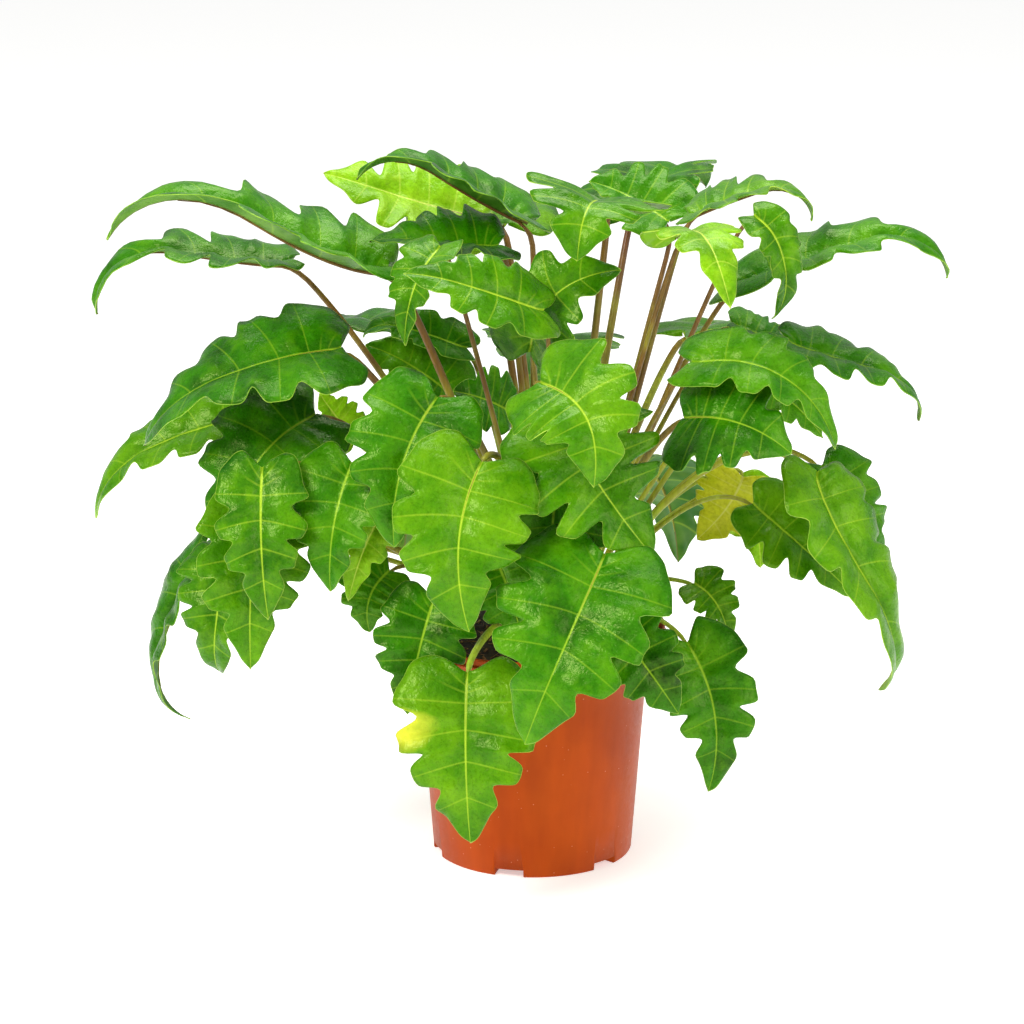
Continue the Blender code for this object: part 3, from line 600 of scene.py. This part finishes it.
def makeStems():
    curve = bpy.data.curves.new("stemCurve", "CURVE")
    curve.dimensions = "3D"
    curve.bevel_depth = mm
    curve.bevel_resolution = 4
    curve.use_fill_caps = True
    for number, leaf in enumerate(leaves):
        path = stalkPath(number, leaf, bladeFrames[number])
        spline = curve.splines.new("POLY")
        spline.points.add(len(path) - 1)
        for point, (place, radius) in zip(spline.points, path):
            point.co = (*(place * mm), 1.0)
            point.radius = radius
        spline.use_smooth = True
    holder = bpy.data.objects.new("stemHolder", curve)
    bpy.context.scene.collection.objects.link(holder)
    graph = bpy.context.evaluated_depsgraph_get()
    mesh = bpy.data.meshes.new_from_object(holder.evaluated_get(graph))
    bpy.data.objects.remove(holder)
    grid = bmesh.new()
    grid.from_mesh(mesh)
    # the crown: a short stump, rough with the scars of old stalks
    stump = bmesh.new()
    bmesh.ops.create_cone(stump, cap_ends=True, segments=48, radius1=25.0, radius2=18.5, depth=42.0)
    upright = [e for e in stump.edges if abs(e.verts[0].co.z - e.verts[1].co.z) > 30]
    bmesh.ops.subdivide_edges(stump, edges=upright, cuts=12)
    crown = Vector(stalkForm["crownAt"])
    for vert in stump.verts:
        away = Vector((vert.co.x, vert.co.y, 0))
        vert.co += away * (0.16 * noise.noise(vert.co * 0.16) - 0.05)
        vert.co = (vert.co + Vector((crown.x, crown.y, 150.0))) * mm
    bmesh.ops.recalc_face_normals(stump, faces=stump.faces)
    stumpMesh = bpy.data.meshes.new("stump")
    stump.to_mesh(stumpMesh)
    stump.free()
    grid.from_mesh(stumpMesh)
    bmesh.ops.remove_doubles(grid, verts=grid.verts, dist=0.000005)
    bmesh.ops.recalc_face_normals(grid, faces=grid.faces)
    for face in grid.faces:
        face.smooth = True
    made = bpy.data.meshes.new("stalks")
    grid.to_mesh(made)
    grid.free()
    stems = bpy.data.objects.new("stalks", made)
    bpy.context.scene.collection.objects.link(stems)
    made.materials.append(stalkPaint())
    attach(stems, "root")
    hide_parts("stems")


def stalkPaint():
    # fleshy leaf stalk: smooth skin, olive green low down and red-brown towards the blade, finely streaked
    made, tree, shader = newMaterial("fleshyStalk")
    place = addNode(tree, "TexCoord").outputs["Object"]
    height = addNode(tree, "SeparateXYZ", None, Vector=place).outputs["Z"]
    wide = addNode(tree, "TexNoise", None, Vector=place, Scale=perMetre(60), Detail=3.0)
    lengthwise = addNode(tree, "Mapping", None, Vector=place, Scale=(1.0, 1.0, 0.12))
    streak = addNode(tree, "TexNoise", None, Vector=lengthwise.outputs[0], Scale=perMetre(2.5), Detail=4.0)
    up = addNode(tree, "MapRange", None, Value=height, From_Min=0.16, From_Max=0.46, To_Min=0.0, To_Max=0.62)
    vary = addNode(tree, "MapRange", None, Value=wide.outputs["Fac"], From_Min=0.3, From_Max=0.7,
                   To_Min=-0.14, To_Max=0.34)
    spot = addNode(tree, "Math", {"operation": "ADD"}, i0=up.outputs[0], i1=vary.outputs[0])
    body = addNode(tree, "ValToRGB", {
        "stops": ((0.0, "#9CB82A"), (0.3, "#969A22"), (0.6, "#7A5A1E"), (0.95, "#66381C"))},
        Fac=spot.outputs[0])
    grain = addNode(tree, "MapRange", None, Value=streak.outputs["Fac"], From_Min=0.3, From_Max=0.7,
                    To_Min=0.74, To_Max=1.22)
    body = addNode(tree, "Mix", multiply, i0=1.0, i6=body.outputs["Color"], i7=grain.outputs[0])
    tree.links.new(body.outputs[2], shader.inputs["Base Color"])
    shader.inputs["Roughness"].default_value = 0.4
    shader.inputs["Specular IOR Level"].default_value = 0.4
    bump = addNode(tree, "Bump", None, Strength=0.25, Distance=0.0003, Height=streak.outputs["Fac"])
    tree.links.new(bump.outputs["Normal"], shader.inputs["Normal"])
    return made


makeStems()
print("stalks and crown")


potForm = {
    "height": 166.0, "wall": 1.5, "rim": 95.0, "lip": 93.8, "lipHeight": 5.5,
    "bandHeight": 26.0, "bandFoot": 82.8, "bodyTop": 81.6, "foot": 71.0, "floor": 1.6,
    "channelWidth": 21.0, "channelHeight": 5.5, "channelStart": 32.0,
    "channelAngles": (-44, 16, 76, 136, 196, 256), "drainRadius": 4.0, "drainAt": 46.0,
    "sides": 144,
}


def potPaint():
    # polypropylene, injection moulded in a terracotta colour: soft sheen, faint flow marks, dust and scuffs
    made, tree, shader = newMaterial("mouldedPolypropylene")
    place = addNode(tree, "TexCoord").outputs["Object"]
    height = addNode(tree, "SeparateXYZ", None, Vector=place).outputs["Z"]
    broad = addNode(tree, "TexNoise", None, Vector=place, Scale=perMetre(70), Detail=4.0)
    body = addNode(tree, "ValToRGB", {"stops": ((0.3, "#9E3602"), (0.7, "#B44706"))},
                   Fac=broad.outputs["Fac"])
    upright = addNode(tree, "Mapping", None, Vector=place, Scale=(1.0, 1.0, 0.18))
    marks = addNode(tree, "TexNoise", None, Vector=upright.outputs[0], Scale=perMetre(9), Detail=5.0)
    flow = addNode(tree, "MapRange", None, Value=marks.outputs["Fac"], From_Min=0.3, From_Max=0.7,
                   To_Min=0.92, To_Max=1.07)
    body = addNode(tree, "Mix", multiply, i0=1.0, i6=body.outputs["Color"], i7=flow.outputs[0])
    # water marks and peat dust, thickest on the lip and the top of the band
    dust = addNode(tree, "TexNoise", None, Vector=place, Scale=perMetre(4), Detail=6.0, Roughness=0.7)
    high = addNode(tree, "MapRange", None, Value=height, From_Min=0.150, From_Max=0.165, To_Min=0.0,
                   To_Max=0.6)
    spots = addNode(tree, "MapRange", None, Value=dust.outputs["Fac"], From_Min=0.42, From_Max=0.62)
    grime = addNode(tree, "Math", {"operation": "MULTIPLY"}, i0=high.outputs[0], i1=spots.outputs[0])
    body = addNode(tree, "Mix", mixColour, i0=grime.outputs[0], i6=body.outputs[2], i7=linear("#5E2C18"))
    specks = addNode(tree, "TexVoronoi", None, Vector=place, Scale=perMetre(7))
    pale = addNode(tree, "MapRange", None, Value=specks.outputs["Distance"], From_Min=0.04, From_Max=0.07,
                   To_Min=0.5, To_Max=0.0)
    body = addNode(tree, "Mix", mixColour, i0=pale.outputs[0], i6=body.outputs[2], i7=linear("#E3A98A"))
    tree.links.new(body.outputs[2], shader.inputs["Base Color"])
    sheen = addNode(tree, "MapRange", None, Value=dust.outputs["Fac"], From_Min=0.3, From_Max=0.7,
                    To_Min=0.36, To_Max=0.52)
    tree.links.new(sheen.outputs[0], shader.inputs["Roughness"])
    shader.inputs["Specular IOR Level"].default_value = 0.28
    shader.inputs["Specular Tint"].default_value = linear("#FFD0A0")
    grain = addNode(tree, "TexNoise", None, Vector=place, Scale=perMetre(0.8), Detail=2.0)
    wavy = addNode(tree, "Math", {"operation": "MULTIPLY_ADD"}, i0=broad.outputs["Fac"], i1=6.0,
                   i2=grain.outputs["Fac"])
    bump = addNode(tree, "Bump", None, Strength=0.12, Distance=0.0005, Height=wavy.outputs[0])
    tree.links.new(bump.outputs["Normal"], shader.inputs["Normal"])
    return made


def finish(name, grid, paint, node):
    mesh = bpy.data.meshes.new(name)
    for face in grid.faces:
        face.smooth = True
    grid.to_mesh(mesh)
    grid.free()
    piece = bpy.data.objects.new(name, mesh)
    bpy.context.scene.collection.objects.link(piece)
    if paint:
        mesh.materials.append(paint)
    if node:
        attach(piece, "root")
        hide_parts(node)
    return piece


def spun(profile, sides):
    # a closed profile of (radius, height) in mm, spun about the upright axis
    grid = bmesh.new()
    verts = [grid.verts.new((r * mm, 0, z * mm)) for r, z in profile]
    edges = [grid.edges.new((a, b)) for a, b in zip(verts, verts[1:] + verts[:1])]
    bmesh.ops.spin(
        grid, geom=verts + edges, cent=(0, 0, 0), axis=(0, 0, 1), angle=math.tau,
        steps=sides, use_merge=True)
    bmesh.ops.remove_doubles(grid, verts=grid.verts, dist=0.000005)
    bmesh.ops.recalc_face_normals(grid, faces=grid.faces)
    return grid


def potProfile():
    p = potForm
    lipFoot, bandFoot, wall = p["height"] - p["lipHeight"], p["height"] - p["bandHeight"], p["wall"]
    profile = [
        (p["lip"] - 0.45, p["height"]), (p["lip"] - 0.1, p["height"] - 0.2), (p["lip"], p["height"] - 0.7),
        (p["lip"], lipFoot + 0.9), (p["lip"] - 0.5, lipFoot + 0.2), (p["lip"] - 0.5, lipFoot - 0.1),
        (p["rim"] - 0.5, lipFoot - 0.3), (p["rim"], lipFoot - 0.8), (p["rim"] - 0.3, lipFoot - 1.8),
    ]
    for t in (0.25, 0.5, 0.75, 0.95):
        radius = p["rim"] - 0.3 + (p["bandFoot"] - p["rim"] + 0.3) * t
        profile.append((radius - 0.5 * math.sin(math.pi * t), lipFoot - 1.8 + (bandFoot - lipFoot + 1.8) * t))
    profile += [
        (p["bandFoot"], bandFoot + 0.3), (p["bandFoot"] + 0.1, bandFoot - 0.2),
        (p["bodyTop"] + 0.3, bandFoot - 0.8), (p["bodyTop"], bandFoot - 1.4),
    ]
    for t in (0.2, 0.4, 0.6, 0.8):
        profile.append((p["bodyTop"] + (p["foot"] - p["bodyTop"]) * t, bandFoot - 1.4 + (2.4 - bandFoot) * t))
    profile += [
        (p["foot"], 1.0), (p["foot"] - 0.3, 0.3), (p["foot"] - 1.0, 0.0), (0, 0), (0, p["floor"]),
        (p["foot"] - wall - 1.4, p["floor"]), (p["foot"] - wall - 0.6, p["floor"] + 0.8),
        (p["bodyTop"] - wall, bandFoot - 1.0), (p["bandFoot"] - wall, bandFoot + 0.6),
        (p["lip"] - wall, lipFoot - 1.6), (p["lip"] - wall, p["height"] - 0.5),
        (p["lip"] - wall + 0.4, p["height"]),
    ]
    return profile


def cutter(angle, low, high):
    grid = bmesh.new()
    bmesh.ops.create_cube(grid, size=1.0)
    size = Vector(high) - Vector(low)
    bmesh.ops.scale(grid, vec=size * mm, verts=grid.verts)
    bmesh.ops.translate(grid, vec=(Vector(high) + Vector(low)) / 2 * mm, verts=grid.verts)
    turn = Matrix.Rotation(math.radians(angle), 3, "Z")
    bmesh.ops.rotate(grid, cent=(0, 0, 0), matrix=turn, verts=grid.verts)
    return finish("cutter", grid, None, None)


def combine(piece, others, operation):
    for other in others:
        step = piece.modifiers.new("combine", "BOOLEAN")
        step.operation, step.object, step.solver = operation, other, "EXACT"
    graph = bpy.context.evaluated_depsgraph_get()
    mesh = bpy.data.meshes.new_from_object(piece.evaluated_get(graph))
    piece.modifiers.clear()
    piece.data = mesh
    for other in others:
        bpy.data.objects.remove(other)


def makePot():
    p = potForm
    pot = finish("nurseryPot", spun(potProfile(), p["sides"]), potPaint(), "pot")
    half, wall = p["channelWidth"] / 2, p["wall"]
    covers = [
        cutter(angle, (p["channelStart"] - wall, -half - wall, p["floor"] / 2),
               (p["foot"] - wall / 2, half + wall, p["channelHeight"] + p["floor"]))
        for angle in p["channelAngles"]]
    combine(pot, covers, "UNION")
    channels = [
        cutter(angle, (p["channelStart"], -half, -1.0), (p["foot"] + 3.0, half, p["channelHeight"]))
        for angle in p["channelAngles"]]
    for angle in p["channelAngles"]:
        grid = bmesh.new()
        bearing = math.radians(angle)
        spot = Vector((p["drainAt"] * math.cos(bearing), p["drainAt"] * math.sin(bearing), 6.0)) * mm
        bmesh.ops.create_cone(
            grid, cap_ends=True, segments=32, radius1=p["drainRadius"] * mm, radius2=p["drainRadius"] * mm,
            depth=5 * mm, matrix=Matrix.Translation(spot))
        channels.append(finish("drill", grid, None, None))
    combine(pot, channels, "DIFFERENCE")


makePot()
print("pot")


soilForm = {
    "top": 158.0, "mound": 4.0, "edge": 91.4, "clumpAt": (-60.0, 35.0),
    "clumpReach": 16, "clumpHeight": 12,
    "fibres": 420, "crumbs": 260,
}


def soilHeight(x, y):
    # mm, of the surface at a place in mm
    radius = math.hypot(x, y)
    s = soilForm
    height = s["top"] + s["mound"] * max(0.0, min(1.0, (88 - radius) / 52))
    height += 1.6 * noise.noise(Vector((x, y, 0)) / 17) + 0.9 * noise.noise(Vector((x, y, 4)) / 6)
    height += 0.5 * noise.noise(Vector((x, y, 9)) / 2.4)
    away = math.hypot(x - s["clumpAt"][0], y - s["clumpAt"][1])
    if away < s["clumpReach"]:
        lump = math.cos(away / s["clumpReach"] * math.pi / 2) ** 0.6
        height += s["clumpHeight"] * lump * (0.85 + 0.5 * noise.noise(Vector((x, y, 2)) / 5))
    return height


def soilPaint():
    # peat and bark potting mix, loose and damp: nearly black, with brown crumbs that catch the light
    made, tree, shader = newMaterial("peatMix")
    place = addNode(tree, "TexCoord").outputs["Object"]
    crumbs = addNode(tree, "TexNoise", None, Vector=place, Scale=perMetre(3.0), Detail=8.0, Roughness=0.7)
    broad = addNode(tree, "TexNoise", None, Vector=place, Scale=perMetre(20), Detail=3.0)
    body = addNode(tree, "ValToRGB", {"stops": ((0.3, "#0C0805"), (0.52, "#26190F"), (0.72, "#4B3320"))},
                   Fac=crumbs.outputs["Fac"])
    damp = addNode(tree, "MapRange", None, Value=broad.outputs["Fac"], From_Min=0.3, From_Max=0.7, To_Min=0.7,
                   To_Max=1.3)
    body = addNode(tree, "Mix", multiply, i0=1.0, i6=body.outputs["Color"], i7=damp.outputs[0])
    tree.links.new(body.outputs[2], shader.inputs["Base Color"])
    shader.inputs["Roughness"].default_value = 0.92
    bump = addNode(tree, "Bump", None, Strength=0.8, Distance=0.0012, Height=crumbs.outputs["Fac"])
    tree.links.new(bump.outputs["Normal"], shader.inputs["Normal"])
    return made


def fibrePaint():
    # shredded wood and coir: dry pale strands, each a little different
    made, tree, shader = newMaterial("woodFibre")
    place = addNode(tree, "TexCoord").outputs["Object"]
    each = addNode(tree, "TexNoise", None, Vector=place, Scale=perMetre(7), Detail=2.0)
    body = addNode(tree, "ValToRGB", {"stops": ((0.3, "#3A2616"), (0.5, "#7A5632"), (0.72, "#B99766"))},
                   Fac=each.outputs["Fac"])
    tree.links.new(body.outputs["Color"], shader.inputs["Base Color"])
    shader.inputs["Roughness"].default_value = 0.8
    return made


def makeSoil():
    s = soilForm
    grid = bmesh.new()
    bmesh.ops.create_circle(grid, cap_ends=False, segments=96, radius=1.0)
    ring = list(grid.edges)
    # rings from the wall to the middle, then down the side to the floor
    radii = [s["edge"] - 3.2 * i for i in range(1, 28)]
    for radius in radii:
        made = bmesh.ops.extrude_edge_only(grid, edges=ring)["geom"]
        ring = [g for g in made if isinstance(g, bmesh.types.BMEdge)]
        for vert in {v for e in ring for v in e.verts}:
            vert.co = vert.co.normalized() * radius
    bmesh.ops.edgeloop_fill(grid, edges=ring)
    first = [v for v in grid.verts if abs(v.co.length - 1.0) < 1e-4]
    for vert in first:
        vert.co = vert.co.normalized() * s["edge"]
    for vert in grid.verts:
        vert.co.z = min(soilHeight(vert.co.x, vert.co.y), 171.0)
        limit = s["edge"] if vert.co.z > 157 else 88.0
        if math.hypot(vert.co.x, vert.co.y) > limit:
            vert.co.xy = vert.co.xy.normalized() * limit
    rim = [e for e in grid.edges if e.is_boundary]
    for radius, z in ((79.0, 139.0), (67.6, 8.0), (29.0, 8.0)):
        made = bmesh.ops.extrude_edge_only(grid, edges=rim)["geom"]
        rim = [g for g in made if isinstance(g, bmesh.types.BMEdge)]
        for vert in {v for e in rim for v in e.verts}:
            vert.co.xy = vert.co.xy.normalized() * radius
            vert.co.z = z
    bmesh.ops.edgeloop_fill(grid, edges=rim)
    bmesh.ops.scale(grid, vec=(mm, mm, mm), verts=grid.verts)
    bmesh.ops.triangulate(grid, faces=[f for f in grid.faces if len(f.verts) > 4])
    bmesh.ops.recalc_face_normals(grid, faces=grid.faces)
    finish("pottingSoil", grid, soilPaint(), "soil")


def makeLitter():
    # strands and crumbs that lie on the soil, all one piece
    s = soilForm
    draw = random.Random(77)
    grid = bmesh.new()
    for count in range(s["fibres"]):
        onClump = count < 90
        if onClump:
            x = s["clumpAt"][0] + draw.uniform(-13, 13)
            y = s["clumpAt"][1] + draw.uniform(-13, 13)
        else:
            radius, turn = 86 * math.sqrt(draw.random()), draw.uniform(0, math.tau)
            x, y = radius * math.cos(turn), radius * math.sin(turn)
        length = draw.uniform(4, 15) * (0.8 if onClump else 1.0)
        width = draw.uniform(0.25, 0.9)
        made = bmesh.ops.create_cone(
            grid, cap_ends=True, segments=4, radius1=width * 0.6, radius2=width * 0.3, depth=length)["verts"]
        bend = draw.uniform(-0.05, 0.05)
        tilt = Euler((draw.uniform(1.2, 1.95), 0, draw.uniform(0, math.tau))).to_matrix()
        for vert in made:
            vert.co.x += bend * vert.co.z**2 * 0.4
            place = tilt @ vert.co + Vector((x, y, 0))
            reach = math.hypot(place.x, place.y)
            if reach > 90.5:
                place.xy = place.xy * (90.5 / reach)
            place.z += soilHeight(x, y) + 0.5
            vert.co = place * mm
    for _ in range(s["crumbs"]):
        radius, turn = 87 * math.sqrt(draw.random()), draw.uniform(0, math.tau)
        x, y = radius * math.cos(turn), radius * math.sin(turn)
        size = draw.uniform(0.7, 2.2)
        made = bmesh.ops.create_icosphere(grid, subdivisions=1, radius=size)["verts"]
        turnBy = Euler([draw.uniform(0, 6) for _ in range(3)]).to_matrix()
        stretch = Vector((draw.uniform(0.6, 1.6), draw.uniform(0.5, 1.0), draw.uniform(0.4, 0.8)))
        for vert in made:
            place = turnBy @ Vector(a * b for a, b in zip(vert.co, stretch)) * (0.8 + 0.4 * draw.random())
            vert.co = (place + Vector((x, y, soilHeight(x, y) + size * 0.3))) * mm
    bmesh.ops.recalc_face_normals(grid, faces=grid.faces)
    litter = finish("woodLitter", grid, fibrePaint(), None)
    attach(litter, "root")


makeSoil()
makeLitter()
print("soil")


studio = {
    "cameraTilt": 15.5,          # degrees below the level
    "distance": 2.8,             # m from the pot's axis
    "target": (-0.01478, 0.0, 0.2475),
    "mmPerPixel": 0.704,
    "floorHalf": 40.0,           # m, so that the floor fills the picture from any height
    "floorGlow": 0.46,           # the bright sweep under and behind the plant
    "skyStrength": 0.5,
    "lightsAim": (0.0, 0.0, 0.3),
    "lights": (                  # name, place and size in m, watts, colour
        ("softKey", (-1.3, -1.5, 1.9), (0.9, 0.8), 50, "#FFFDF8"),
        ("softFill", (1.7, -1.3, 1.1), (1.2, 1.2), 18, "#FFFFFF"),
        ("softTop", (0.1, 0.5, 2.2), (1.4, 1.1), 32, "#FFFFFF"),
    ),
}


def softLight(name, place, size, power, colour):
    data = bpy.data.lights.new(name, "AREA")
    data.shape = "RECTANGLE"
    data.size, data.size_y = size
    data.energy = power
    data.color = linear(colour)[:3]
    lamp = bpy.data.objects.new(name, data)
    bpy.context.scene.collection.objects.link(lamp)
    lamp.location = place
    lamp.rotation_euler = (Vector(studio["lightsAim"]) - Vector(place)).to_track_quat("-Z", "Y").to_euler()


def makeStudio():
    grid = bmesh.new()
    bmesh.ops.create_grid(grid, x_segments=1, y_segments=1, size=studio["floorHalf"])
    floor = finish("studioFloor", grid, None, None)
    made, tree, shader = newMaterial("palePaper")
    shader.inputs["Base Color"].default_value = linear("#F4F4F2")
    shader.inputs["Emission Color"].default_value = linear("#FFFFFF")
    shader.inputs["Emission Strength"].default_value = studio["floorGlow"]
    shader.inputs["Roughness"].default_value = 0.9
    floor.data.materials.append(made)
    world = bpy.data.worlds.new("studioWorld")
    bpy.context.scene.world = world
    world.use_nodes = True
    background = world.node_tree.nodes["Background"]
    background.inputs["Color"].default_value = linear("#FFFFFF")
    background.inputs["Strength"].default_value = studio["skyStrength"]
    bpy.context.scene.view_settings.view_transform = "Standard"
    for light in studio["lights"]:
        softLight(*light)
    camera = bpy.data.cameras.new("studioCamera")
    camera.sensor_width = 36.0
    camera.lens = studio["distance"] / (studio["mmPerPixel"] * mm) * 36.0 / 1024
    holder = bpy.data.objects.new("studioCamera", camera)
    bpy.context.scene.collection.objects.link(holder)
    tilt = math.radians(studio["cameraTilt"])
    look = Vector((0, math.cos(tilt), -math.sin(tilt)))
    holder.location = Vector(studio["target"]) - look * studio["distance"]
    holder.rotation_euler = (math.pi / 2 - tilt, 0, 0)
    bpy.context.scene.camera = holder


makeStudio()
bpy.context.view_layer.update()
